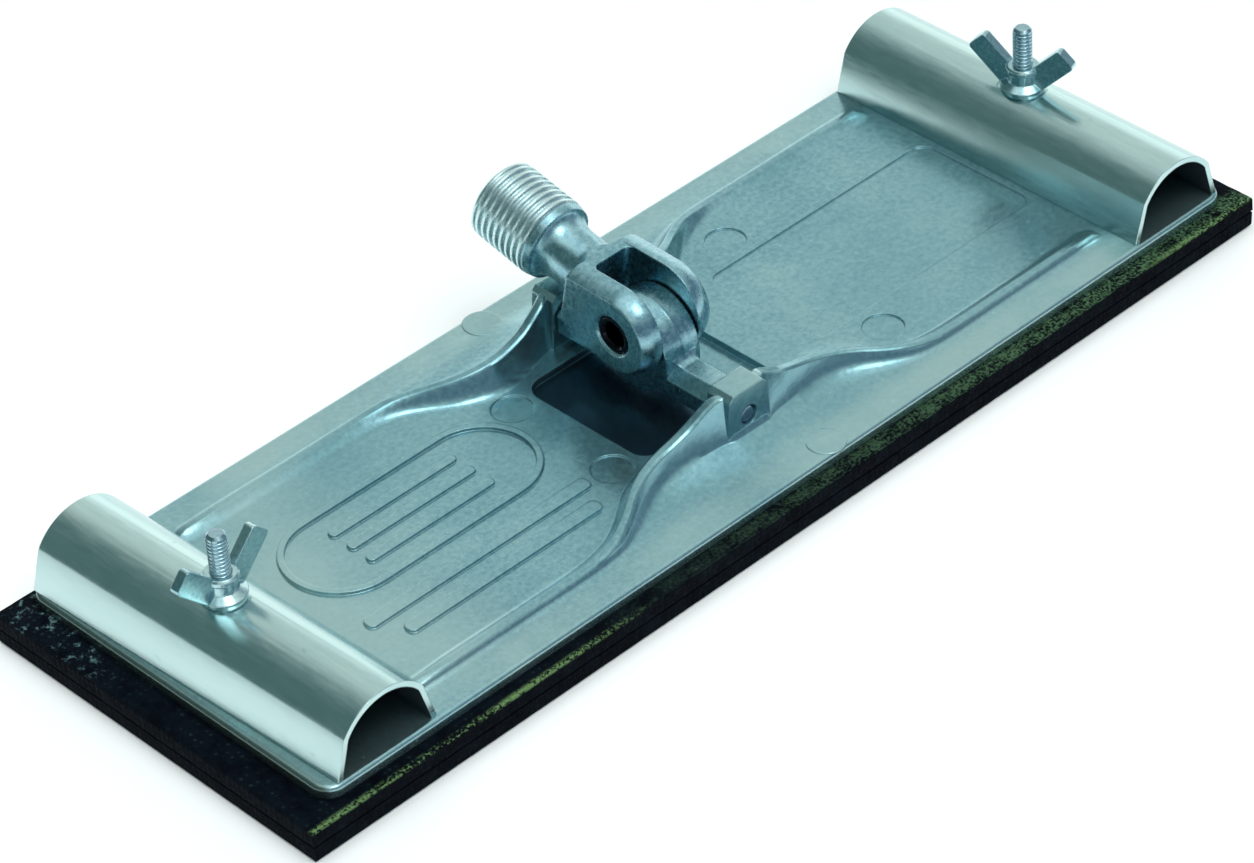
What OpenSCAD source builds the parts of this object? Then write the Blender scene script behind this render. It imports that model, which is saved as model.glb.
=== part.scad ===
// Pole sander head: a die-cast sole plate on a soft pad, two sheet clamps with wing nuts,
// and a two-axis swivel that carries a threaded fork for a pole.
// Origin: underside of the pad, below the middle of the swivel. +X runs along the head,
// +Z is up from the sanding face.

/* [Pad] */
// Length of the pad along the head
pad_l = 239; // [200:0.5:260]
// Width of the pad
pad_w = 84; // [70:0.5:95]
// Thickness of the pad
pad_t = 6.35; // [4:0.05:10]
// Shift of the glued pad along the head
pad_dx = -1.2; // [-3:0.1:3]
// Shift of the glued pad across the head
pad_dy = -0.9; // [-3:0.1:3]

/* [Sole plate] */
// Length of the cast sole plate
plate_l = 228.6; // [190:0.1:250]
// Width of the cast sole plate
plate_w = 79; // [65:0.5:90]
// Thickness of the cast sole plate
plate_t = 2.4; // [2:0.1:4]
// Radius of the plate's corners
plate_corner = 4; // [2:0.5:8]
// Radius of the plate's soft top edge
plate_edge = 0.9; // [0.3:0.1:1.5]
// Length of the shallow panel beside the swivel
panel_l = 59; // [30:1:65]
// Width of the shallow panel
panel_w = 28.6; // [20:0.5:36]
// Depth of the panel and the ejector marks
mark_depth = 0.3; // [0.1:0.05:0.6]

/* [Ears and pocket] */
// Width of each ear at its foot
ear_w = 10.8; // [10:0.1:12]
// Width of each ear at its top
ear_top_w = 9.4; // [7:0.1:9.5]
// Inner face of each ear, from the middle
ear_in = 20; // [17:0.1:22]
// Outer face of each ear, from the middle
ear_out = 25.5; // [24:0.1:28]
// Height of the ears above the plate
ear_h = 11.6; // [9:0.1:15]
// Length of the pocket below the swivel
pocket_l = 34; // [26:0.5:40]
// Width of the pocket below the swivel
pocket_w = 32; // [26:0.5:36]
// Depth of the pocket
pocket_depth = 1.5; // [0.5:0.1:1.8]

/* [Swivel] */
// Height of the lower pin's axis above the plate
trunnion_h = 5.6; // [5:0.1:8]
// Height of the upper pin's axis above the lower pin's
cross_rise = 9.6; // [9.5:0.1:11]
// Radius of the lug on the swivel block
lug_r = 9.4; // [8:0.1:9.6]
// Height of the lug's centre above the lower pin's axis
lug_rise = 4.7; // [4:0.1:5.5]
// Width of the lug on the swivel block
lug_w = 8.4; // [7.8:0.1:8.8]
// Height of the swivel block's bar
bar_h = 8; // [7:0.1:8.4]
// Bevel along the edges of the bar
bar_bevel = 2.2; // [1:0.1:2.6]
// Diameter of the lower pin
trunnion_d = 4; // [3:0.1:5]
// Diameter of the upper pin
fork_pin_d = 7.6; // [5:0.1:8]
// Bore of the hollow upper pin
fork_pin_bore = 4.8; // [2:0.1:5]

/* [Fork] */
// Width over the fork's arms
fork_w = 17.4; // [16:0.1:20]
// Gap between the fork's arms
fork_gap = 9.2; // [9:0.1:10]
// Radius of the arms' round ends on their outer faces
arm_r = 7.5; // [7:0.1:8]
// Growth of the arms' outline from the outer faces to the slot
arm_draft = 1.4; // [0.5:0.1:1.6]
// Bottom of the fork's slot, from the upper pin
crotch = 10.2; // [9.8:0.1:11]
// End of the arms' flat faces, from the upper pin
arm_end = 12.6; // [12:0.1:14]
// Radius of the neck
neck_r = 5.6; // [5:0.1:6]
// Length of the hollow flare between the neck and its rim
flare_l = 4.4; // [2:0.1:5]
// Rim at the end of the neck, from the upper pin
rim_at = 23; // [22.5:0.1:26]
// Radius of that rim
rim_r = 7.5; // [6.5:0.1:7.6]
// Length of the plain band between the rim and the pole thread
band_l = 1.6; // [1:0.1:4]
// Outer diameter of the pole thread
thread_d = 16; // [14:0.1:17]
// Pitch of the pole thread
thread_pitch = 1.55; // [1:0.05:3]
// Number of turns of the pole thread
thread_turns = 8; // [5:1:10]
// Lean of the fork from upright as it lies against the far ear
fork_tilt = 77.5; // [60:0.5:78]

/* [Clamps] */
// Distance of each clamp from the middle
clamp_x = 100.9; // [90:0.1:104]
// Width of a clamp
clamp_w = 22.9; // [18:0.1:26]
// Height of a clamp
clamp_h = 12.8; // [11:0.1:16]
// Radius of a clamp's round top
clamp_r = 11.1; // [10:0.1:12]
// Lean of a clamp's flat flanks from upright
clamp_lean = 16; // [8:0.5:20]
// Length of a clamp
clamp_l = 77.1; // [60:0.1:79]
// Thickness of the clamp's sheet
clamp_t = 1.1; // [0.8:0.1:2]
// Turn of the left clamp about its screw
left_yaw = 1.8; // [-3:0.1:3]

/* [Screws and wing nuts] */
// Outer diameter of the clamp screws
screw_d = 3.8; // [3.5:0.01:5]
// Pitch of the clamp screws
screw_pitch = 0.8; // [0.7:0.05:1.25]
// Height of the screws above the clamps
screw_rise = 13.5; // [12:0.5:20]
// Diameter of the wing nut's hub at its foot
hub_d = 8.8; // [7:0.1:11]
// Height of the wing nut's hub
hub_h = 5.6; // [4:0.1:7]
// Reach of each wing from the screw's axis
wing_reach = 11; // [9:0.1:13]
// Width of a wing across its slope
wing_w = 4.6; // [4:0.1:6]
// Thickness of a wing
wing_t = 1.9; // [1.4:0.1:3]
// Direction of the left wing nut
left_nut_turn = 4; // [-90:1:90]
// Direction of the right wing nut
right_nut_turn = 108; // [0:1:180]

/* [Hidden] */
$fn = 64;
eps = 0.01;
slip = 0.05;                        // running clearance on a radius
press = 0.02;                       // radius left between a held pin and its hole
plate_z = pad_t;                    // underside of the plate
top_z = plate_z + plate_t;          // top of the plate
trunnion_z = top_z + trunnion_h;
pin_z = trunnion_z + cross_rise;
lug_z = trunnion_z + lug_rise;
clamp_top = top_z + clamp_h;
seat_depth = 0.4;                   // flat pressed into the clamp under the nut
seat_z = clamp_top - seat_depth;
screw_top = clamp_top + screw_rise;
head_h = 1.9;                       // countersunk head of a clamp screw
head_r = 4.1;
bed = 0.8;                          // depth that cast details run into the plate
arm_slope = 2.35;                   // fall of an arm's upper edge from its round end to the neck
heel = 2;                           // cut across the lower corner where an arm meets the neck

// Half of a side rib, from the middle of the head outwards: crest (distance from the middle,
// height), inner foot and outer foot. Inside the ear's width the rib is only the ear's front foot
rib = [ // x, crest_y, crest_h, inner_y, outer_y
    [0,    22.9, 10.9, 20.8, 34.2],
    [4,    22.8, 10.9, 20.8, 34.2],
    [5.4,  22.1, 10.8, 20.6, 34.3],
    [6.6,  21.7, 10.2, 20.4, 34.3],
    [8.2,  21.4,  9.3, 20.0, 34.1],
    [10,   21.2,  8.2, 19.4, 33.6],
    [12,   21.0,  7.2, 18.7, 32.8],
    [15,   20.9,  6.2, 17.8, 31.2],
    [18,   20.9,  5.5, 17.3, 29.9],
    [21,   21.3,  5.0, 17.3, 29.1],
    [24,   22.1,  4.5, 18.0, 29.2],
    [28,   23.9,  3.8, 19.9, 30.1],
    [32.5, 26.7,  2.9, 23.2, 31.3],
    [37,   28.9,  2.3, 25.8, 32.2],
    [41.4, 29.9,  1.7, 27.0, 32.8],
    [46,   30.3,  1.3, 27.3, 33.0],
    [60,   30.3,  1.2, 27.4, 33.0],
    [85.5, 30.3,  1.2, 27.4, 33.0],
    [87.5, 30.3,  0.3, 28.4, 32.0]
];
rib_steps = 3;                      // stations drawn between two given ones

module slab(l, w, t, r) {
    linear_extrude(t)
        rounded(l, w, r);
}

// Rectangle with round corners
module rounded(l, w, r) {
    square([l - 2*r, w], center = true);
    square([l, w - 2*r], center = true);
    for (x = [-1, 1], y = [-1, 1])
        translate([x*(l/2 - r), y*(w/2 - r)])
            circle(r);
}

// Slab whose top edge is rounded by radius e
module soft_slab(l, w, t, r, e) {
    slab(l, w, t - e, r);
    slab(l - 2*e, w - 2*e, t, r - e);
    for (s = [-1, 1]) {
        translate([0, s*(w/2 - e), t - e])
            rotate([0, 90, 0])
                cylinder(h = l - 2*r, r = e, center = true);
        translate([s*(l/2 - e), 0, t - e])
            rotate([90, 0, 0])
                cylinder(h = w - 2*r, r = e, center = true);
    }
    for (x = [-1, 1], y = [-1, 1])
        translate([x*(l/2 - r), y*(w/2 - r), t - e])
            rotate_extrude()
                translate([r - e, 0])
                    circle(e, $fn = 32);
}

module stadium(l, w) {
    square([l - w, w], center = true);
    for (s = [-1, 1])
        translate([s*(l - w)/2, 0])
            circle(w/2);
}

// Raised racetrack ring
module ring(l, w, line, h) {
    linear_extrude(h)
        difference() {
            stadium(l, w);
            stadium(l - 2*line, w - 2*line);
        }
}

// Value of column c of the rib table at x, with a smooth run between stations
function at(x, c, i = 0) =
    i >= len(rib) - 2 || x <= rib[i + 1][0]
        ? let (u = (x - rib[i][0]) / (rib[i + 1][0] - rib[i][0]),
               m0 = slope(i, c), m1 = slope(i + 1, c), d = rib[i + 1][0] - rib[i][0])
          rib[i][c]*(1 + 2*u)*(1 - u)*(1 - u) + m0*d*u*(1 - u)*(1 - u)
          + rib[i + 1][c]*u*u*(3 - 2*u) + m1*d*u*u*(u - 1)
        : at(x, c, i + 1);
function slope(i, c) =
    let (a = max(i - 1, 0), b = min(i + 1, len(rib) - 1))
    (rib[b][c] - rib[a][c]) / (rib[b][0] - rib[a][0]);

// Section of a rib at x: a hollow inner flank, a rounded crest, a steep outer wall and a low foot.
// The wall is steepest beside the ear
foot_share = 0.25;                  // height of the outer foot as a share of the rib's
foot_steps = [0, 0.3, 0.6, 0.8, 0.89, 1];
inner_steps = [0, 0.2, 0.4, 0.6, 0.8, 1];
function rib_section(x) =
    let (yc = at(x, 1), h = at(x, 2), lip = min(0.35, h*0.3),
         yi = at(x, 3), wall_i = yc - 0.8, yo = at(x, 4), wall_o = yc + 1.4,
         steep = 3 + 12*exp(-max(x - ear_w/2, 0)/10))
    concat(
        [[yi - 0.3, -bed]],
        [for (t = inner_steps) [yi + (wall_i - yi)*t, (h - lip)*pow(t, 1.7)]],
        [[yc - 0.35, h], [yc + 0.9, h]],
        [for (i = [len(foot_steps) - 1:-1:0])
            let (t = foot_steps[i])
            [yo + (wall_o - yo)*t, (h - lip)*(foot_share*t + (1 - foot_share)*pow(t, steep))]],
        [[yo + 0.3, -bed]]);

// One side's rib as a single skin through its sections
module rib_run() {
    last = len(rib) - 1;
    half = concat(
        [for (i = [1:last - 2], k = [0:rib_steps - 1])
            rib[i][0] + (rib[i + 1][0] - rib[i][0])*k/rib_steps],
        [rib[last - 1][0], rib[last][0]]);
    xs = concat([for (i = [len(half) - 1:-1:0]) -half[i]], half);
    rows = [for (x = xs) rib_section(abs(x))];
    m = len(rows[0]);
    n = len(rows);
    points = [for (i = [0:n - 1], p = rows[i]) [xs[i], p[0], p[1]]];
    sides = [for (i = [0:n - 2], j = [0:m - 1])
        let (a = i*m + j, b = i*m + (j + 1)%m)
        each [[a, b, a + m], [b, b + m, a + m]]];
    caps = [[for (j = [m - 1:-1:0]) j], [for (j = [0:m - 1]) (n - 1)*m + j]];
    polyhedron(points = points, faces = concat(sides, caps));
}

// Ear for the lower pin: narrower towards its top, with its top corners cut
module ear() {
    foot = ear_w/2;
    top = ear_top_w/2;
    cut = 1;
    translate([0, ear_out, 0])
        rotate([90, 0, 0])
            linear_extrude(ear_out - ear_in)
                polygon([[-foot, -bed], [foot, -bed], [foot, 0], [top, ear_h - cut],
                         [top - cut, ear_h], [cut - top, ear_h], [-top, ear_h - cut], [-foot, 0]]);
}

// Plain cast decoration on the open half of the plate
module relief() {
    translate([-54, 5.5, -bed]) {
        ring(56, 23.2, 1.3, bed + 0.6);
        for (y = [-5, 0, 5])
            translate([0, y, 0])
                slab(30, 2.2, bed + 0.5, 1);
    }
    translate([-54.5, -12.5, -bed])
        slab(53, 3, bed + 0.5, 1.2);
    translate([-54, -18.5, -bed])
        slab(46, 3, bed + 0.5, 1.2);
}

module base_plate() {
    color([0.47, 0.58, 0.60])
        difference() {
            translate([0, 0, top_z]) {
                translate([0, 0, -plate_t])
                    soft_slab(plate_l, plate_w, plate_t, plate_corner, plate_edge);
                for (y = [0, 1])
                    mirror([0, y, 0]) {
                        rib_run();
                        ear();
                    }
                relief();
            }
            translate([0, 0, top_z - pocket_depth])
                slab(pocket_l, pocket_w, ear_h, 4);
            translate([28.7 + panel_l/2, 0, top_z - mark_depth])
                slab(panel_l, panel_w, 1, 3);
            for (p = [[-22.4, 13, 4], [40, 20.4, 4]], s = [-1, 1])
                translate([p[0], s*p[1], top_z - mark_depth])
                    cylinder(h = 3, r = p[2]);
            translate([0, 0, trunnion_z])
                rotate([90, 0, 0])
                    cylinder(h = 60, r = trunnion_d/2 + press, center = true);
            for (x = [-1, 1])
                translate([x*clamp_x, 0, plate_z - eps]) {
                    cylinder(h = plate_t + 1, r = screw_d/2 + press);
                    cylinder(h = head_h + eps, r1 = head_r + press, r2 = screw_d/2 + press);
                }
        }
}

module pad() {
    color([0.07, 0.09, 0.09])
        translate([pad_dx - pad_l/2, pad_dy - pad_w/2, 0])
            cube([pad_l, pad_w, pad_t]);
}

// Straight thread drawn as rings: a narrow root and a wide crest with soft edges for each turn
module thread(r, pitch, turns, depth) {
    soft = 0.08;
    rotate_extrude()
        polygon(concat(
            [[0, 0]],
            [for (i = [0:turns - 1])
                each [[r - depth, i*pitch], [r - depth, (i + 0.1)*pitch],
                      [r - soft, (i + 0.34)*pitch], [r, (i + 0.42)*pitch],
                      [r, (i + 0.78)*pitch], [r - soft, (i + 0.86)*pitch]]],
            [[r - depth, turns*pitch], [0, turns*pitch]]));
}

module clamp_screw() {
    turns = floor((screw_top - clamp_top - 1)/screw_pitch);
    start = screw_top - 1 - turns*screw_pitch;
    color([0.66, 0.72, 0.73]) {
        translate([0, 0, plate_z])
            cylinder(h = head_h, r1 = head_r, r2 = screw_d/2);
        translate([0, 0, plate_z])
            cylinder(h = start - plate_z + eps, r = screw_d/2);
        translate([0, 0, start])
            thread(screw_d/2, screw_pitch, turns, 0.35);
        translate([0, 0, screw_top - 1 - eps])
            cylinder(h = 0.5, r = screw_d/2 - 0.1);
        translate([0, 0, screw_top - 0.5 - 2*eps])
            cylinder(h = 0.5, r1 = screw_d/2 - 0.1, r2 = screw_d/2 - 0.6);
    }
}

module left_screw() {
    translate([-clamp_x, 0, 0])
        clamp_screw();
}

module right_screw() {
    translate([clamp_x, 0, 0])
        clamp_screw();
}

// Round pin with a bevel at each end
module pin_blank(l, r, bevel) {
    cylinder(h = l - 2*bevel, r = r, center = true);
    for (s = [0, 1])
        mirror([0, 0, s])
            translate([0, 0, l/2 - bevel - eps])
                cylinder(h = bevel + eps, r1 = r, r2 = r - bevel);
}

module trunnion_pin() {
    color([0.70, 0.74, 0.76])
        translate([0, 0, trunnion_z])
            rotate([90, 0, 0])
                pin_blank(2*ear_out - 0.8, trunnion_d/2, 0.6);
}

// Outline of a clamp, drawn in by g: two flat flanks that lean towards a round top
module arch(g) {
    foot = clamp_w/2 - g/cos(clamp_lean);
    top = foot - 2*clamp_h*tan(clamp_lean);
    intersection() {
        polygon([[-foot, 0], [foot, 0], [top, 2*clamp_h], [-top, 2*clamp_h]]);
        union() {
            translate([0, clamp_h - clamp_r])
                circle(clamp_r - g, $fn = 96);
            translate([-clamp_w, 0])
                square([2*clamp_w, clamp_h - clamp_r]);
        }
    }
}

module clamp() {
    color([0.66, 0.74, 0.76])
        difference() {
            rotate([90, 0, 0])
                linear_extrude(clamp_l, center = true)
                    difference() {
                        arch(0);
                        translate([0, -eps])
                            arch(clamp_t);
                    }
            translate([0, 0, clamp_h - seat_depth])
                cylinder(h = 5, r = hub_d/2 + 0.5);
            cylinder(h = 30, r = screw_d/2 + 0.4);
        }
}

module left_clamp() {
    translate([-clamp_x, 0, top_z + eps])
        rotate([0, 0, left_yaw])
            clamp();
}

module right_clamp() {
    translate([clamp_x, 0, top_z + eps])
        clamp();
}

// One wing: a flat bar that leaves the hub at 45 degrees and ends square with soft corners
module wing() {
    corner = 0.9;
    tip = wing_reach*sqrt(2) - wing_w/2;
    rotate([90, 0, 0])
        linear_extrude(wing_t, center = true)
            intersection() {
                rotate(45)
                    translate([tip/2, 0])
                        rounded(tip, wing_w, corner);
                translate([screw_d/2 + 0.7, 0.9])
                    square(20);
            }
}

module wing_nut() {
    neck = hub_d/2 - 1.5;
    lip = 0.4;
    foot_h = 1.2;
    color([0.68, 0.78, 0.80])
        difference() {
            union() {
                cylinder(h = foot_h, r1 = hub_d/2 - 0.2, r2 = hub_d/2);
                translate([0, 0, foot_h - eps])
                    cylinder(h = 1, r1 = hub_d/2, r2 = neck);
                cylinder(h = hub_h - 2*lip, r = neck);
                translate([0, 0, hub_h - 4*lip])
                    cylinder(h = lip, r1 = neck, r2 = neck + lip);
                translate([0, 0, hub_h - 3*lip - eps])
                    cylinder(h = 2*lip, r = neck + lip);
                translate([0, 0, hub_h - lip - 2*eps])
                    cylinder(h = lip, r1 = neck + lip, r2 = neck);
                for (a = [0, 180])
                    rotate([0, 0, a])
                        wing();
            }
            translate([0, 0, -1])
                cylinder(h = hub_h + 12, r = screw_d/2 + slip);
        }
}

module left_wing_nut() {
    translate([-clamp_x, 0, seat_z + 2*eps])
        rotate([0, 0, left_nut_turn])
            wing_nut();
}

module right_wing_nut() {
    translate([clamp_x, 0, seat_z + 2*eps])
        rotate([0, 0, right_nut_turn])
            wing_nut();
}

// Swivel block: a bevelled bar on the lower pin and a lug with a round top for the upper pin.
// Both halves of the lug have draft, and a low flash stands where they meet
module swivel_block() {
    bar_l = 2*ear_in - 0.6;
    half = lug_w/2;
    flat = half - bar_bevel;
    side = bar_h/2 - bar_bevel;
    draft = 0.35;
    flash = 0.1;
    fillet = 2.3;
    bar_top = trunnion_z + bar_h/2;
    color([0.60, 0.68, 0.69])
        difference() {
            union() {
                translate([0, 0, trunnion_z])
                    rotate([90, 0, 0])
                        linear_extrude(bar_l, center = true)
                            polygon([[half, side], [flat, bar_h/2], [-flat, bar_h/2], [-half, side],
                                     [-half, -side], [-flat, -bar_h/2], [flat, -bar_h/2],
                                     [half, -side]]);
                for (s = [0, 1])
                    mirror([s, 0, 0])
                        translate([-eps, 0, lug_z])
                            rotate([0, 90, 0])
                                cylinder(h = half + eps, r1 = lug_r, r2 = lug_r - draft, $fn = 96);
                translate([0, 0, lug_z])
                    rotate([0, 90, 0])
                        cylinder(h = 2*flash, r = lug_r + flash, center = true, $fn = 96);
                translate([0, 0, trunnion_z])
                    linear_extrude(lug_rise)
                        polygon([[-half, lug_r - draft], [0, lug_r], [half, lug_r - draft],
                                 [half, draft - lug_r], [0, -lug_r], [-half, draft - lug_r]]);
                intersection() {
                    rotate([90, 0, 90])
                        linear_extrude(lug_w, center = true)
                            polygon(concat(
                                [[-lug_r + 1, trunnion_z]],
                                [for (s = [-1, 1], i = [0:4])
                                    let (t = 22.5*(s < 0 ? i : 4 - i))
                                    [s*(lug_r - draft + fillet*(1 - sin(t))),
                                     bar_top - eps + fillet*(1 - cos(t))]],
                                [[lug_r - 1, trunnion_z]]));
                    rotate([90, 0, 0])
                        linear_extrude(4*lug_r, center = true)
                            polygon([[-half, trunnion_z + side], [-flat, bar_top],
                                     [-half, bar_top + fillet], [half, bar_top + fillet],
                                     [flat, bar_top], [half, trunnion_z + side]]);
                }
            }
            translate([0, 0, trunnion_z])
                rotate([90, 0, 0])
                    cylinder(h = 60, r = trunnion_d/2 + slip, center = true);
            translate([0, 0, pin_z])
                rotate([0, 90, 0])
                    cylinder(h = 30, r = fork_pin_d/2 + slip, center = true);
        }
}

// Places its children with +Z along the fork's axis and the origin on the upper pin
module on_fork() {
    translate([0, 0, pin_z])
        rotate([-fork_tilt, 0, 0])
            children();
}

// Outline of an arm, grown by g: a round end, a sloping upper edge and a cut heel
module arm_outline(g) {
    circle(arm_r + g, $fn = 96);
    polygon([[0, 0], [arm_slope - arm_r - g, arm_end], [arm_r - heel + g, arm_end],
             [arm_r - 0.1 + g, arm_end - heel]]);
}

// One arm: its outline shrinks from the slot to the flat outer face
module arm() {
    thin = 0.1;
    hull()
        for (s = [[fork_gap/2, arm_draft], [fork_gap/2 + 0.8, arm_draft],
                  [fork_w/2 - 1.5, 0.65*arm_draft], [fork_w/2 - thin, 0]])
            translate([s[0], 0, 0])
                rotate([90, 0, 90])
                    linear_extrude(thin)
                        arm_outline(s[1]);
}

// Solid ring whose radius falls from r + f to r in a hollow curve of height h
module flare(r, f, h) {
    rotate_extrude()
        polygon(concat([[0, 0]], [for (t = [0:10:90]) [r + f*(1 - sin(t)), h*(1 - cos(t))]], [[0, h]]));
}

module fork() {
    crest_r = thread_d/2;
    thread_at = rim_at + band_l;
    end_z = thread_at + thread_turns*thread_pitch;
    depth = 0.6;
    web = arm_r + arm_draft;
    root = fork_w/2 - neck_r - 0.4;
    sink = 0.5;
    color([0.62, 0.71, 0.72])
        on_fork()
            difference() {
                union() {
                    for (s = [0, 1])
                        mirror([s, 0, 0])
                            arm();
                    rotate([90, 0, 90])
                        linear_extrude(fork_gap + 0.2, center = true)
                            polygon([[arm_r, crotch - 2], [arm_r, arm_end - heel],
                                     [arm_r - heel, arm_end], [arm_slope - web, arm_end],
                                     [0.7*arm_slope - web, crotch - 2]]);
                    intersection() {
                        translate([0, 0, arm_end - eps])
                            flare(neck_r, root, root);
                        translate([0, 0, arm_end])
                            cube([fork_w, 2*neck_r, fork_w], center = true);
                    }
                    translate([0, 0, arm_end - 1])
                        cylinder(h = rim_at - arm_end + 1, r = neck_r);
                    translate([0, 0, rim_at + eps])
                        mirror([0, 0, 1])
                            flare(neck_r, rim_r - neck_r, flare_l);
                    translate([0, 0, rim_at])
                        cylinder(h = band_l + eps, r1 = rim_r, r2 = crest_r - 0.1);
                    translate([0, 0, thread_at])
                        thread(crest_r, thread_pitch, thread_turns, depth);
                    translate([0, 0, end_z - eps])
                        cylinder(h = 0.4, r1 = crest_r - depth, r2 = crest_r - 0.15);
                    translate([0, 0, end_z + 0.4 - 2*eps])
                        cylinder(h = 0.5, r = crest_r - 0.15);
                    translate([0, 0, end_z + 0.9 - 3*eps])
                        cylinder(h = 0.8, r1 = crest_r - 0.15, r2 = crest_r - 1.1);
                }
                rotate([90, 0, 0])
                    linear_extrude(4*arm_r, center = true)
                        rounded(fork_gap, 2*crotch, 1.6);
                rotate([0, 90, 0])
                    cylinder(h = 30, r = fork_pin_d/2 + press, center = true);
                for (s = [0, 1])
                    mirror([s, 0, 0])
                        translate([fork_w/2 - sink, 0, 0])
                            rotate([0, 90, 0])
                                cylinder(h = sink + eps, r1 = fork_pin_d/2 + press,
                                         r2 = fork_pin_d/2 + sink);
            }
}

module fork_pin() {
    color([0.05, 0.06, 0.07])
        on_fork()
            rotate([0, 90, 0])
                difference() {
                    pin_blank(fork_w - 0.6, fork_pin_d/2, 0.3);
                    cylinder(h = fork_w + 1, r = fork_pin_bore/2, center = true);
                    for (s = [0, 1])
                        mirror([0, 0, s])
                            translate([0, 0, fork_w/2 - 0.9])
                                cylinder(h = 1, r1 = fork_pin_bore/2 - 0.1, r2 = fork_pin_bore/2 + 0.9);
                }
}

base_plate();
pad();
left_screw();
right_screw();
trunnion_pin();
left_clamp();
right_clamp();
left_wing_nut();
right_wing_nut();
swivel_block();
fork();
fork_pin();
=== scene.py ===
import math

import bmesh
import bpy
from mathutils import Matrix, Vector, noise


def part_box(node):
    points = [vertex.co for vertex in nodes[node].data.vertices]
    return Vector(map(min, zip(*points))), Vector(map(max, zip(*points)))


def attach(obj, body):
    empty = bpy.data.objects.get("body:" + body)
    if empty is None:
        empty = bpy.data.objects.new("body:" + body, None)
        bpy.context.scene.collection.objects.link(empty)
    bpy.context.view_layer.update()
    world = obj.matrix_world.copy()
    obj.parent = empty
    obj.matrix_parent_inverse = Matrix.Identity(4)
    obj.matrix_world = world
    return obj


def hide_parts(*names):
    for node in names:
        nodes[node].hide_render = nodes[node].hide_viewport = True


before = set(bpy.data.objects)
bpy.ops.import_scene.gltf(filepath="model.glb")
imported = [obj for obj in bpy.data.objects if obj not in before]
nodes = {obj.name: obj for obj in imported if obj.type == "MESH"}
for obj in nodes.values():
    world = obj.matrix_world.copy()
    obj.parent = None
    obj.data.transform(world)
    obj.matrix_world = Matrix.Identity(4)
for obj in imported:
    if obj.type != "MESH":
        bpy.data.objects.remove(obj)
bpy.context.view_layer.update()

MM = 0.001
SMOOTH_ANGLE = math.radians(28)         # edges that turn less than this are shaded smooth


# ---------------------------------------------------------------- node helpers
class Tree:
    """Adds and links shader nodes in one node tree."""

    def __init__(self, tree):
        self.tree = tree
        self.tree.nodes.clear()

    def link(self, a, b):
        self.tree.links.new(a, b)

    def node(self, kind, inputs=None, **props):
        n = self.tree.nodes.new("ShaderNode" + kind)
        for key, value in props.items():
            setattr(n, key, value)
        for key, value in (inputs or {}).items():
            if hasattr(value, "is_output"):
                self.link(value, n.inputs[key])
            else:
                n.inputs[key].default_value = value
        return n

    def math(self, op, a, b=None):
        inputs = {0: a} if b is None else {0: a, 1: b}
        return self.node("Math", inputs, operation=op).outputs[0]

    def step(self, value, lo, hi):
        """0 below lo and 1 above hi, with a soft run between; lo may be the larger."""
        ends = {"Value": value, "From Min": min(lo, hi), "From Max": max(lo, hi)}
        up = self.node("MapRange", ends, interpolation_type="SMOOTHSTEP").outputs[0]
        return up if lo < hi else self.math("SUBTRACT", 1.0, up)

    def under(self, value, edge, soft):
        """1 where value is under edge and 0 over it, with a run of soft to each side."""
        return self.step(value, edge + soft, edge - soft)

    def product(self, *values):
        total = values[0]
        for value in values[1:]:
            total = self.math("MULTIPLY", total, value)
        return total

    def mix(self, fac, a, b, blend="MIX"):
        n = self.node("Mix", data_type="RGBA", blend_type=blend)
        for key, value in ((0, fac), (6, a), (7, b)):
            if hasattr(value, "is_output"):
                self.link(value, n.inputs[key])
            else:
                n.inputs[key].default_value = value if key == 0 else (*value, 1)
        return n.outputs[2]


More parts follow.
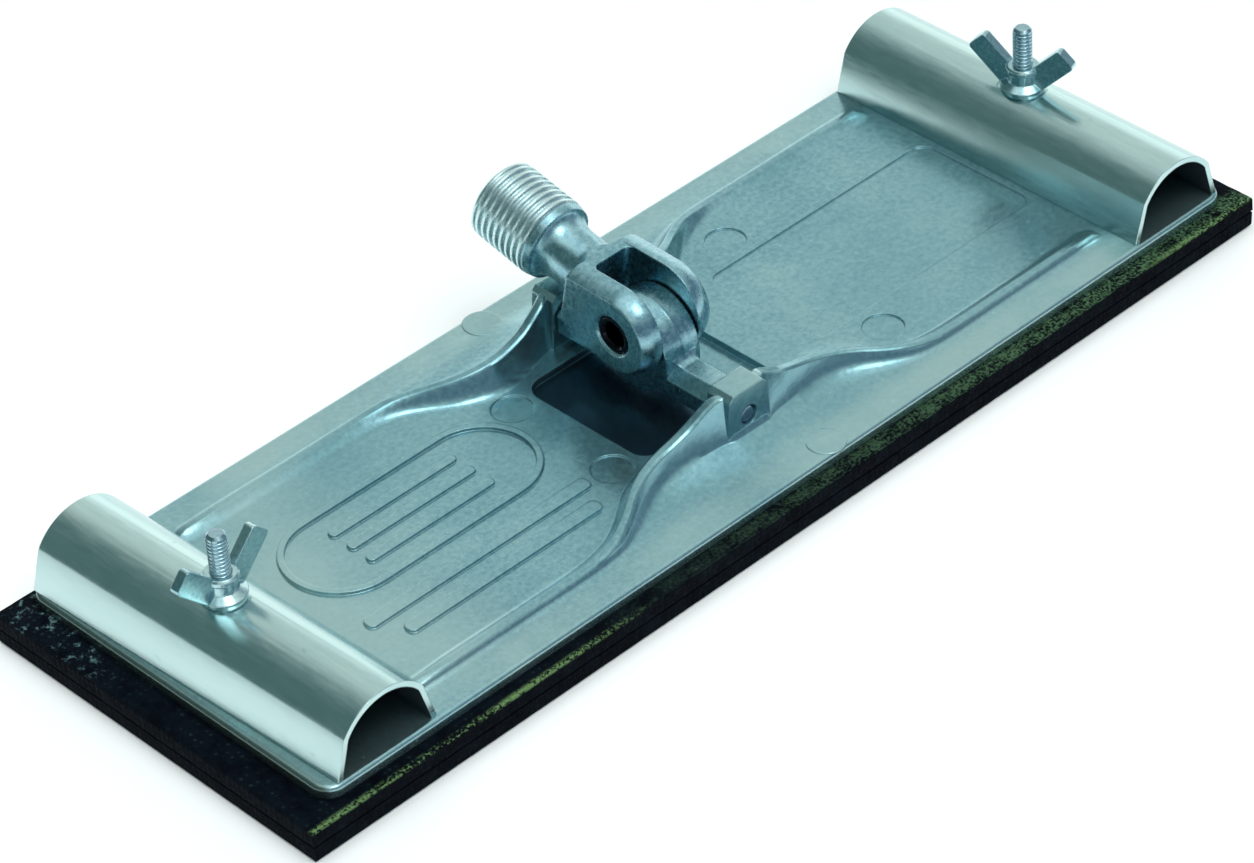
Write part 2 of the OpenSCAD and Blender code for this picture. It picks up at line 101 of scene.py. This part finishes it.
class Mat(Tree):
    """A Principled material whose patterns lie in the frame's own coordinates."""

    def __init__(self, name, **sockets):
        self.mat = bpy.data.materials.new(name)
        self.mat.use_nodes = True
        super().__init__(self.mat.node_tree)
        out = self.node("OutputMaterial")
        self.bsdf = self.node("BsdfPrincipled")
        self.link(self.bsdf.outputs[0], out.inputs["Surface"])
        for key, value in sockets.items():
            self.bsdf.inputs[key.replace("_", " ")].default_value = value
        self.place = self.node("TexCoord").outputs["Object"]

    def axes(self):
        n = self.node("SeparateXYZ", {0: self.place})
        return n.outputs[0], n.outputs[1], n.outputs[2]

    def coords(self, stretch=(1, 1, 1), turn=(0, 0, 0)):
        inputs = {"Vector": self.place, "Scale": stretch, "Rotation": turn}
        return self.node("Mapping", inputs).outputs[0]

    def noise(self, scale, detail=3.0, rough=0.5, stretch=(1, 1, 1), turn=(0, 0, 0)):
        inputs = {"Vector": self.coords(stretch, turn), "Scale": scale,
                  "Detail": detail, "Roughness": rough}
        return self.node("TexNoise", inputs).outputs[0]

    def blend(self, first, second, share):
        """Weighted sum of two values; share is the second one's part."""
        return self.math("ADD", self.math("MULTIPLY", first, 1 - share),
                         self.math("MULTIPLY", second, share))

    def ramp(self, fac, stops):
        r = self.node("ValToRGB", {"Fac": fac})
        els = r.color_ramp.elements
        while len(els) < len(stops):
            els.new(0.5)
        for el, (pos, col) in zip(els, stops):
            el.position = pos
            el.color = (*col, 1)
        return r.outputs[0]

    def remap(self, value, lo, hi, to_lo, to_hi):
        inputs = {"Value": value, "From Min": lo, "From Max": hi, "To Min": to_lo, "To Max": to_hi}
        return self.node("MapRange", inputs).outputs[0]

    def bumps(self, layers, bevel=None):
        """layers: (height, strength, distance in metres), the finest last."""
        normal = None
        if bevel:
            normal = self.node("Bevel", {"Radius": bevel}, samples=6).outputs[0]
        for height, strength, distance in layers:
            b = self.node("Bump", {"Height": height, "Strength": strength, "Distance": distance})
            if normal is not None:
                self.link(normal, b.inputs["Normal"])
            normal = b.outputs[0]
        self.link(normal, self.bsdf.inputs["Normal"])

    def colour(self, socket):
        self.link(socket, self.bsdf.inputs["Base Color"])

    def rough(self, socket):
        self.link(socket, self.bsdf.inputs["Roughness"])


# ---------------------------------------------------------------- metals
def cast_skin(m, dark, mid, light, scratches):
    """Mottled colour of a casting, with thin bright scratches; also gives its noises."""
    big = m.noise(45, 4, 0.6)
    fine = m.noise(900, 4, 0.65)
    colour = m.ramp(m.blend(big, fine, 0.55), [(0.36, dark), (0.5, mid), (0.64, light)])
    line = m.noise(300, 2, 0.5, stretch=(0.12, 6, 6), turn=(0, 0, 0.6))
    colour = m.mix(m.remap(line, 0.66, 0.72, 0, scratches), colour, light)
    return colour, big, fine


def cast_rough(m, fine, low, high):
    """Grainy roughness from low to high; also gives its grain."""
    grain = m.noise(2600, 3, 0.7)
    m.rough(m.remap(m.blend(fine, grain, 0.4), 0.3, 0.7, low, high))
    return grain


def plate_material():
    """Grey casting with painted sheen on its rib strips, left end and ear tops, painted shade in the
    pocket and painted dark olive shade and reflection along its two ends.
    """
    m = Mat("cast_plate", Metallic=0.9)
    colour, big, fine = cast_skin(m, (0.185, 0.370, 0.430), (0.260, 0.475, 0.535),
                                  (0.350, 0.565, 0.600), 0.35)
    colour = m.mix(m.remap(m.noise(14, 2, 0.5), 0.35, 0.65, 0, 0.4), colour, (0.20, 0.40, 0.45))
    x, y, z = m.axes()
    side, across = m.math("ABSOLUTE", x), m.math("ABSOLUTE", y)
    low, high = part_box("base_plate")
    # painted sheen: the rib strips, the left end and the ear tops are painted paler, as if lit
    strips = m.step(across, 29 * MM, 36 * MM)
    left_end = m.step(x, -52 * MM, -82 * MM)
    ear_tops = m.step(z, high[2] - 2.2 * MM, high[2] - 0.6 * MM)
    painted_sheen = m.math("MAXIMUM", m.math("MAXIMUM", strips, left_end), ear_tops)
    painted_sheen = m.product(painted_sheen, m.remap(m.noise(30, 4, 0.6), 0.35, 0.6, 0.3, 1))
    colour = m.mix(m.math("MULTIPLY", painted_sheen, 0.7), colour, (0.46, 0.64, 0.64))
    # painted shade: the pocket under the fork is darkened to near black
    pocket = m.product(m.under(side, 17 * MM, 0.4 * MM), m.under(across, 16 * MM, 0.4 * MM),
                       m.under(z, 8.3 * MM, 0.3 * MM), m.under(x, 8 * MM, 4 * MM))
    colour = m.mix(m.math("MULTIPLY", pocket, 0.9), colour, (0.020, 0.050, 0.085))
    # painted shade and dark olive reflection on the rounded lip at both ends of the plate
    lip = m.product(m.step(side, high[0] - 1.8 * MM, high[0] - 0.9 * MM),
                    m.under(z, 8.75 * MM, 0.15 * MM))
    colour = m.mix(m.math("MULTIPLY", lip, 0.75), colour, (0.10, 0.135, 0.10))
    m.colour(colour)
    grain = cast_rough(m, fine, 0.17, 0.28)
    m.bumps([(big, 0.12, 0.6 * MM), (fine, 0.22, 0.12 * MM), (grain, 0.18, 0.04 * MM)],
            bevel=0.4 * MM)
    return m.mat


def swivel_material():
    """Tumbled casting, brighter on the pole thread."""
    m = Mat("cast_swivel", Metallic=1.0)
    colour, big, fine = cast_skin(m, (0.20, 0.40, 0.48), (0.34, 0.57, 0.64),
                                  (0.50, 0.72, 0.75), 0.2)
    pole_axis = (0, 0.976, 0.216)
    along = m.node("VectorMath", {0: m.place, 1: pole_axis}, operation="DOT_PRODUCT").outputs["Value"]
    thread = m.math("MULTIPLY", m.step(along, 29.4 * MM, 30.4 * MM), 0.75)
    m.colour(m.mix(thread, colour, (0.76, 0.92, 0.92)))
    grain = cast_rough(m, fine, 0.20, 0.36)
    m.bumps([(big, 0.2, 0.6 * MM), (fine, 0.25, 0.12 * MM), (grain, 0.15, 0.04 * MM)],
            bevel=0.5 * MM)
    return m.mat


def zinc(name, dark, light, rough, bevel=0.3 * MM):
    """Plain bright metal; rough is its range of roughness."""
    m = Mat(name, Metallic=1.0)
    big = m.noise(60, 3, 0.6)
    fine = m.noise(1400, 3, 0.6)
    m.colour(m.ramp(m.blend(big, fine, 0.3), [(0.35, dark), (0.65, light)]))
    m.rough(m.remap(fine, 0.3, 0.7, *rough))
    m.bumps([(big, 0.05, 0.5 * MM), (fine, 0.05, 0.05 * MM)], bevel=bevel)
    return m.mat


def clamp_material(name, node):
    """Rolled zinc sheet, bright outside; the hollow side is rougher and less metallic and carries
    painted shade that makes it near black.
    """
    m = Mat(name, Metallic=1.0)
    drawn = (1, 0.12, 1)
    big = m.noise(70, 3, 0.6, drawn)
    fine = m.noise(1500, 3, 0.6, drawn)
    spots = m.noise(260, 4, 0.7)
    low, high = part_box(node)
    # a face is on the hollow side where its normal points back to the axis of the round top
    top_radius = 11.1 * MM
    to_axis = (-(low[0] + high[0]) / 2, 0, top_radius - high[2])
    spoke = m.node("Mapping", {"Vector": m.place, "Location": to_axis}).outputs[0]
    flat = m.node("VectorMath", {0: spoke, 1: (1, 0, 1)}, operation="MULTIPLY").outputs[0]
    normal = m.node("TexCoord").outputs["Normal"]
    outward = m.node("VectorMath", {0: flat, 1: normal}, operation="DOT_PRODUCT").outputs["Value"]
    inside = m.step(outward, 0.0, -2 * MM)
    colour = m.ramp(m.blend(big, fine, 0.3),
                    [(0.35, (0.46, 0.66, 0.67)), (0.65, (0.60, 0.77, 0.76))])
    colour = m.mix(m.remap(spots, 0.66, 0.76, 0, 0.5), colour, (0.25, 0.42, 0.45))
    # painted shade: the hollow side under the arch is darkened to near black
    m.colour(m.mix(m.math("MULTIPLY", inside, 0.97), colour, (0.003, 0.007, 0.018)))
    m.rough(m.math("ADD", m.remap(fine, 0.3, 0.7, 0.19, 0.27), m.math("MULTIPLY", inside, 0.25)))
    m.link(m.math("SUBTRACT", 1.0, m.math("MULTIPLY", inside, 0.9)), m.bsdf.inputs["Metallic"])
    m.bumps([(big, 0.06, 0.5 * MM), (fine, 0.04, 0.05 * MM)], bevel=0.3 * MM)
    return m.mat


# ---------------------------------------------------------------- rubber
def rubber_material():
    """Black sponge under a woven skin, with a painted green highlight along its near upper edge and
    smears of glue.
    """
    m = Mat("pad_rubber", Metallic=0.0)
    m.bsdf.inputs["Specular IOR Level"].default_value = 0.04
    low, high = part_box("pad")
    x, y, z = m.axes()
    weave = m.node("TexVoronoi", {"Vector": m.coords((1, 1, 0.5)), "Scale": 760.0,
                                  "Randomness": 0.35}).outputs["Distance"]
    coarse = m.noise(240, 4, 0.7)
    fine = m.noise(1600, 3, 0.7)
    patch = m.noise(28, 3, 0.6)
    top = m.step(z, high[2] - 0.35 * MM, high[2] - 0.05 * MM)
    # grey dots of the weave on the black sponge
    dots = m.product(top, m.step(weave, 0.34, 0.12), m.step(coarse, 0.42, 0.6))
    body = m.ramp(coarse, [(0.35, (0.0010, 0.0018, 0.004)), (0.65, (0.003, 0.006, 0.010))])
    colour = m.mix(m.math("MULTIPLY", dots, 0.5), body, (0.020, 0.040, 0.040))
    # green speckle along the near strip
    near = m.step(y, low[1] + 6 * MM, low[1] + 3 * MM)
    green = m.product(top, near, m.step(x, -70 * MM, 105 * MM),
                      m.step(m.blend(coarse, fine, 0.65), 0.45, 0.58))
    colour = m.mix(green, colour, (0.075, 0.150, 0.075))
    # ragged painted green highlight along both ends of the near top edge
    edge = m.step(m.math("SUBTRACT", y, low[1]), 1.6 * MM, 0.4 * MM)
    highlight_ends = m.math("ADD", m.step(x, -38 * MM, -60 * MM), m.step(x, 84 * MM, 100 * MM))
    rag = m.product(m.step(z, high[2] - 0.6 * MM, high[2] - 0.15 * MM), edge, highlight_ends,
                    m.step(m.blend(patch, fine, 0.6), 0.45, 0.53))
    colour = m.mix(m.math("MULTIPLY", rag, 0.8), colour, (0.17, 0.30, 0.12))
    # smears of glue in the far left corner
    corner = m.step(x, low[0] + 26 * MM, low[0] + 6 * MM)
    smear = m.product(top, corner, m.step(y, 8 * MM, 26 * MM),
                      m.step(m.noise(520, 5, 0.75), 0.56, 0.66))
    colour = m.mix(m.math("MULTIPLY", smear, 0.8), colour, (0.13, 0.24, 0.25))
    m.colour(colour)
    m.rough(m.remap(fine, 0.3, 0.7, 0.55, 0.95))
    m.bumps([(coarse, 0.5, 0.6 * MM), (weave, 0.6, 0.3 * MM), (fine, 0.4, 0.1 * MM)])
    return m.mat


LOOKS = {
    ("base_plate",): plate_material(),
    ("swivel_block", "fork"): swivel_material(),
    ("left_clamp",): clamp_material("left_clamp_zinc", "left_clamp"),
    ("right_clamp",): clamp_material("right_clamp_zinc", "right_clamp"),
    ("left_wing_nut", "right_wing_nut"):
        zinc("nut_zinc", (0.30, 0.52, 0.58), (0.62, 0.82, 0.84), (0.14, 0.26)),
    ("left_screw", "right_screw"):
        zinc("screw_zinc", (0.30, 0.48, 0.56), (0.55, 0.72, 0.78), (0.16, 0.28), bevel=0.1 * MM),
    # painted shade and glints: the pin's high-contrast dark-to-pale mottling stands in for its dark
    # rim and bright highlights
    ("trunnion_pin",):
        zinc("bright_pin", (0.06, 0.11, 0.18), (0.55, 0.68, 0.78), (0.12, 0.25), bevel=0.6 * MM),
    ("fork_pin",): zinc("black_pin", (0.008, 0.009, 0.013), (0.03, 0.03, 0.04), (0.08, 0.16)),
}
for names, mat in LOOKS.items():
    for name in names:
        slots = nodes[name].data.materials
        if not slots:
            slots.append(mat)
        for i in range(len(slots)):
            slots[i] = mat


# ---------------------------------------------------------------- smooth shading of CAD nodes
def smoothing_group(name, angle):
    g = bpy.data.node_groups.new(name, "GeometryNodeTree")
    g.interface.new_socket("Geometry", in_out="INPUT", socket_type="NodeSocketGeometry")
    g.interface.new_socket("Geometry", in_out="OUTPUT", socket_type="NodeSocketGeometry")
    new = g.nodes.new
    src, dst = new("NodeGroupInput"), new("NodeGroupOutput")
    merge = new("GeometryNodeMergeByDistance")
    merge.inputs["Distance"].default_value = 2e-6
    turn = new("GeometryNodeInputMeshEdgeAngle")
    flat = new("FunctionNodeCompare")
    flat.operation = "LESS_EQUAL"
    flat.inputs[1].default_value = angle
    faces, edges = new("GeometryNodeSetShadeSmooth"), new("GeometryNodeSetShadeSmooth")
    faces.domain, edges.domain = "FACE", "EDGE"
    faces.inputs["Shade Smooth"].default_value = True
    g.links.new(turn.outputs["Unsigned Angle"], flat.inputs[0])
    g.links.new(src.outputs[0], merge.inputs[0])
    g.links.new(merge.outputs[0], faces.inputs["Geometry"])
    g.links.new(faces.outputs[0], edges.inputs["Geometry"])
    g.links.new(flat.outputs[0], edges.inputs["Shade Smooth"])
    g.links.new(edges.outputs[0], dst.inputs[0])
    return g


smooth = smoothing_group("smooth_by_angle", SMOOTH_ANGLE)
for name, obj in nodes.items():
    if name != "pad":
        obj.modifiers.new("smooth", "NODES").node_group = smooth


# ---------------------------------------------------------------- rubber pad
def wobble(x, y, z, size, seed):
    """Smooth random value, about -1 to 1, that varies over lengths of size metres."""
    return noise.noise(Vector((x / size + seed, y / size, z / size)))


def make_pad():
    """Two glued layers of sponge: a fine skin with a seam round its sides and a ragged top edge."""
    low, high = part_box("pad")
    step = 1.2 * MM
    nx = round((high[0] - low[0]) / step)
    ny = round((high[1] - low[1]) / step)
    thick = high[2] - low[2]
    # level and inset of each ring of the sides, from the bottom edge to the top edge; a level
    # is a share of the thickness
    rings = [(0.04, 0.12 * MM), (0.46, 0.05 * MM), (0.5, 0.4 * MM), (0.54, 0.0),
             (0.93, 0.0), (0.985, 0.14 * MM)]
    border = ([(i, 0) for i in range(nx)] + [(nx, j) for j in range(ny)]
              + [(i, ny) for i in range(nx, 0, -1)] + [(0, j) for j in range(ny, 0, -1)])
    bm = bmesh.new()

    def put(i, j, level, inset):
        """Vertex at grid point i, j; the rim is drawn in by inset and a random amount."""
        x = low[0] + (high[0] - low[0]) * i / nx
        y = low[1] + (high[1] - low[1]) * j / ny
        z = low[2] + thick * level
        ragged = 0.06 * MM + 0.10 * MM * level
        shift = inset + ragged * (1 + wobble(x, y, z, 1.7 * MM, 3)) * 0.5
        if i in (0, nx):
            x += shift if i == 0 else -shift
        if j in (0, ny):
            y += shift if j == 0 else -shift
        if level == 1:
            edge = i in (0, nx) or j in (0, ny)
            wave, drop = (0.10 * MM, 0.16 * MM) if edge else (0.05 * MM, 0.05 * MM)
            z += wave * wobble(x, y, 0, 2.1 * MM, 9) - drop
        return bm.verts.new((x, y, z))

    grid = [(i, j) for i in range(nx + 1) for j in range(ny + 1)]
    bottom = {p: put(*p, 0, 0.25 * MM) for p in grid}
    top = {p: put(*p, 1, 0.28 * MM) for p in grid}
    for i in range(nx):
        for j in range(ny):
            square = [(i, j), (i + 1, j), (i + 1, j + 1), (i, j + 1)]
            bm.faces.new([top[p] for p in square])
            bm.faces.new([bottom[p] for p in reversed(square)])
    sides = [{p: put(*p, level, inset) for p in border} for level, inset in rings]
    levels = [bottom, *sides, top]
    for below, above in zip(levels, levels[1:]):
        for a, b in zip(border, border[1:] + border[:1]):
            bm.faces.new([below[a], below[b], above[b], above[a]])
    mesh = bpy.data.meshes.new("pad_skin")
    bm.to_mesh(mesh)
    bm.free()
    pad = bpy.data.objects.new("pad_skin", mesh)
    bpy.context.scene.collection.objects.link(pad)
    return pad


pad = make_pad()
pad.data.materials.append(rubber_material())
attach(pad, "base")
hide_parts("pad")


# ---------------------------------------------------------------- ejector marks
EJECTOR_MARKS = {"ejector_mark_near": (8.5, -36.0), "ejector_mark_far": (-8.5, 36.0)}


def surface_height(node, x, y):
    """Height of a node's upper surface at one point seen from above."""
    obj = nodes[node]
    to_frame = obj.matrix_world
    start = to_frame.inverted() @ Vector((x, y, 0.1))
    down = to_frame.inverted().to_3x3() @ Vector((0, 0, -1))
    hit, place, _, _ = obj.ray_cast(start, down)
    return (to_frame @ place).z if hit else 0.0


def ejector_mark(name, x, y):
    """A low round pad left by an ejector pin, with a bevelled rim."""
    radius, rise, sunk, bevel, sides = 3.8 * MM, 0.12 * MM, 0.3 * MM, 0.12 * MM, 48
    top = surface_height("base_plate", x, y) + rise
    angles = [2 * math.pi * i / sides for i in range(sides)]
    bm = bmesh.new()
    rings = []
    for r, z in ((radius, top - rise - sunk), (radius, top - bevel), (radius - bevel, top)):
        rings.append([bm.verts.new((x + r * math.cos(a), y + r * math.sin(a), z)) for a in angles])
    for below, above in zip(rings, rings[1:]):
        for i in range(sides):
            j = (i + 1) % sides
            bm.faces.new([below[i], below[j], above[j], above[i]])
    bm.faces.new(rings[-1])
    bm.faces.new(rings[0][::-1])
    mesh = bpy.data.meshes.new(name)
    bm.to_mesh(mesh)
    bm.free()
    mesh.materials.append(nodes["base_plate"].data.materials[0])
    mark = bpy.data.objects.new(name, mesh)
    bpy.context.scene.collection.objects.link(mark)
    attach(mark, "base")


for name, (x, y) in EJECTOR_MARKS.items():
    ejector_mark(name, x * MM, y * MM)


# ---------------------------------------------------------------- stage, light and camera
def add_floor():
    bm = bmesh.new()
    half_width = 6
    bmesh.ops.create_grid(bm, x_segments=1, y_segments=1, size=half_width)
    mesh = bpy.data.meshes.new("floor")
    bm.to_mesh(mesh)
    bm.free()
    floor = bpy.data.objects.new("floor", mesh)
    floor.location.z = -0.2 * MM
    m = Mat("floor_paint", Roughness=0.95)
    m.bsdf.inputs["Specular IOR Level"].default_value = 0.1
    m.colour(m.ramp(m.noise(3, 2), [(0.4, (0.93, 0.95, 0.95)), (0.6, (0.96, 0.97, 0.97))]))
    mesh.materials.append(m.mat)
    bpy.context.scene.collection.objects.link(floor)


def add_light(name, at, size, power, colour):
    """Area light that points at the origin and isn't itself mirrored in the metal."""
    data = bpy.data.lights.new(name, "AREA")
    data.shape = "RECTANGLE"
    data.size, data.size_y = size
    data.energy = power
    data.color = colour
    obj = bpy.data.objects.new(name, data)
    obj.location = at
    obj.rotation_euler = (-Vector(at)).to_track_quat("-Z", "Y").to_euler()
    obj.visible_glossy = False
    bpy.context.scene.collection.objects.link(obj)


def add_studio():
    """A bright room with a lamp overhead, a dark wall at the far left and a dim side at the front."""
    world = bpy.data.worlds.new("studio")
    world.use_nodes = True
    t = Tree(world.node_tree)
    out = t.node("OutputWorld")
    background = t.node("Background", {"Strength": 1.0})
    t.link(background.outputs[0], out.inputs["Surface"])
    way = t.node("TexCoord").outputs["Generated"]
    height = t.node("SeparateXYZ", {0: way}).outputs[2]
    level = t.node("VectorMath", {0: way, 1: (1, 1, 0)}, operation="MULTIPLY").outputs[0]
    heading = t.node("VectorMath", {0: level}, operation="NORMALIZE").outputs[0]

    def along(direction, axis):
        return t.node("VectorMath", {0: direction, 1: axis}, operation="DOT_PRODUCT").outputs["Value"]

    def towards(x, y, lo, hi):
        return t.step(along(heading, (x, y, 0)), lo, hi)

    wall = t.product(towards(-0.78, 0.62, 0.1, 0.75), t.step(height, 0.92, 0.78))
    front = t.product(towards(0.35, -0.94, 0.1, 0.55), t.step(height, 0.78, 0.5))
    glow = t.product(towards(0.9, 0.44, 0.3, 0.9), t.step(height, 0.5, 0.2))
    lamp = t.step(along(way, (0.0, -0.41, 0.91)), 0.965, 0.99)
    colour = t.mix(t.step(height, 0.84, 0.93), (0.70, 0.76, 0.73), (1.0, 1.1, 1.1))
    colour = t.mix(glow, colour, (1.35, 1.4, 1.35))
    colour = t.mix(t.math("MULTIPLY", wall, 0.92), colour, (0.05, 0.12, 0.12))
    colour = t.mix(t.math("MULTIPLY", front, 0.8), colour, (0.05, 0.12, 0.20))
    colour = t.mix(lamp, colour, (4.5, 4.7, 4.7))
    t.link(colour, background.inputs["Color"])
    bpy.context.scene.world = world
    add_light("softbox", (-0.2, -0.1, 1.4), (1.6, 1.4), 12, (1.0, 1.0, 1.0))
    bpy.context.scene.view_settings.view_transform = "Standard"


def add_camera():
    """Camera that looks down at the head from the near left, tilted by its roll."""
    az, el, roll = (math.radians(a) for a in (-41.92, 38.14, -4.0))
    target = Vector((-10.0, -3.77, 5.0)) * MM
    distance = 898.2 * MM
    back = Vector((math.sin(az) * math.cos(el), -math.cos(az) * math.cos(el), math.sin(el)))
    level_right = Vector((math.cos(az), math.sin(az), 0))
    level_up = back.cross(level_right)
    right = math.cos(roll) * level_right + math.sin(roll) * level_up
    up = -math.sin(roll) * level_right + math.cos(roll) * level_up
    data = bpy.data.cameras.new("camera")
    data.sensor_width = 36
    data.lens = 142.565
    data.clip_start = 0.05
    cam = bpy.data.objects.new("camera", data)
    rotation = Matrix((right, up, back)).transposed().to_4x4()
    cam.matrix_world = Matrix.Translation(target + back * distance) @ rotation
    bpy.context.scene.collection.objects.link(cam)
    bpy.context.scene.camera = cam


add_floor()
add_studio()
add_camera()
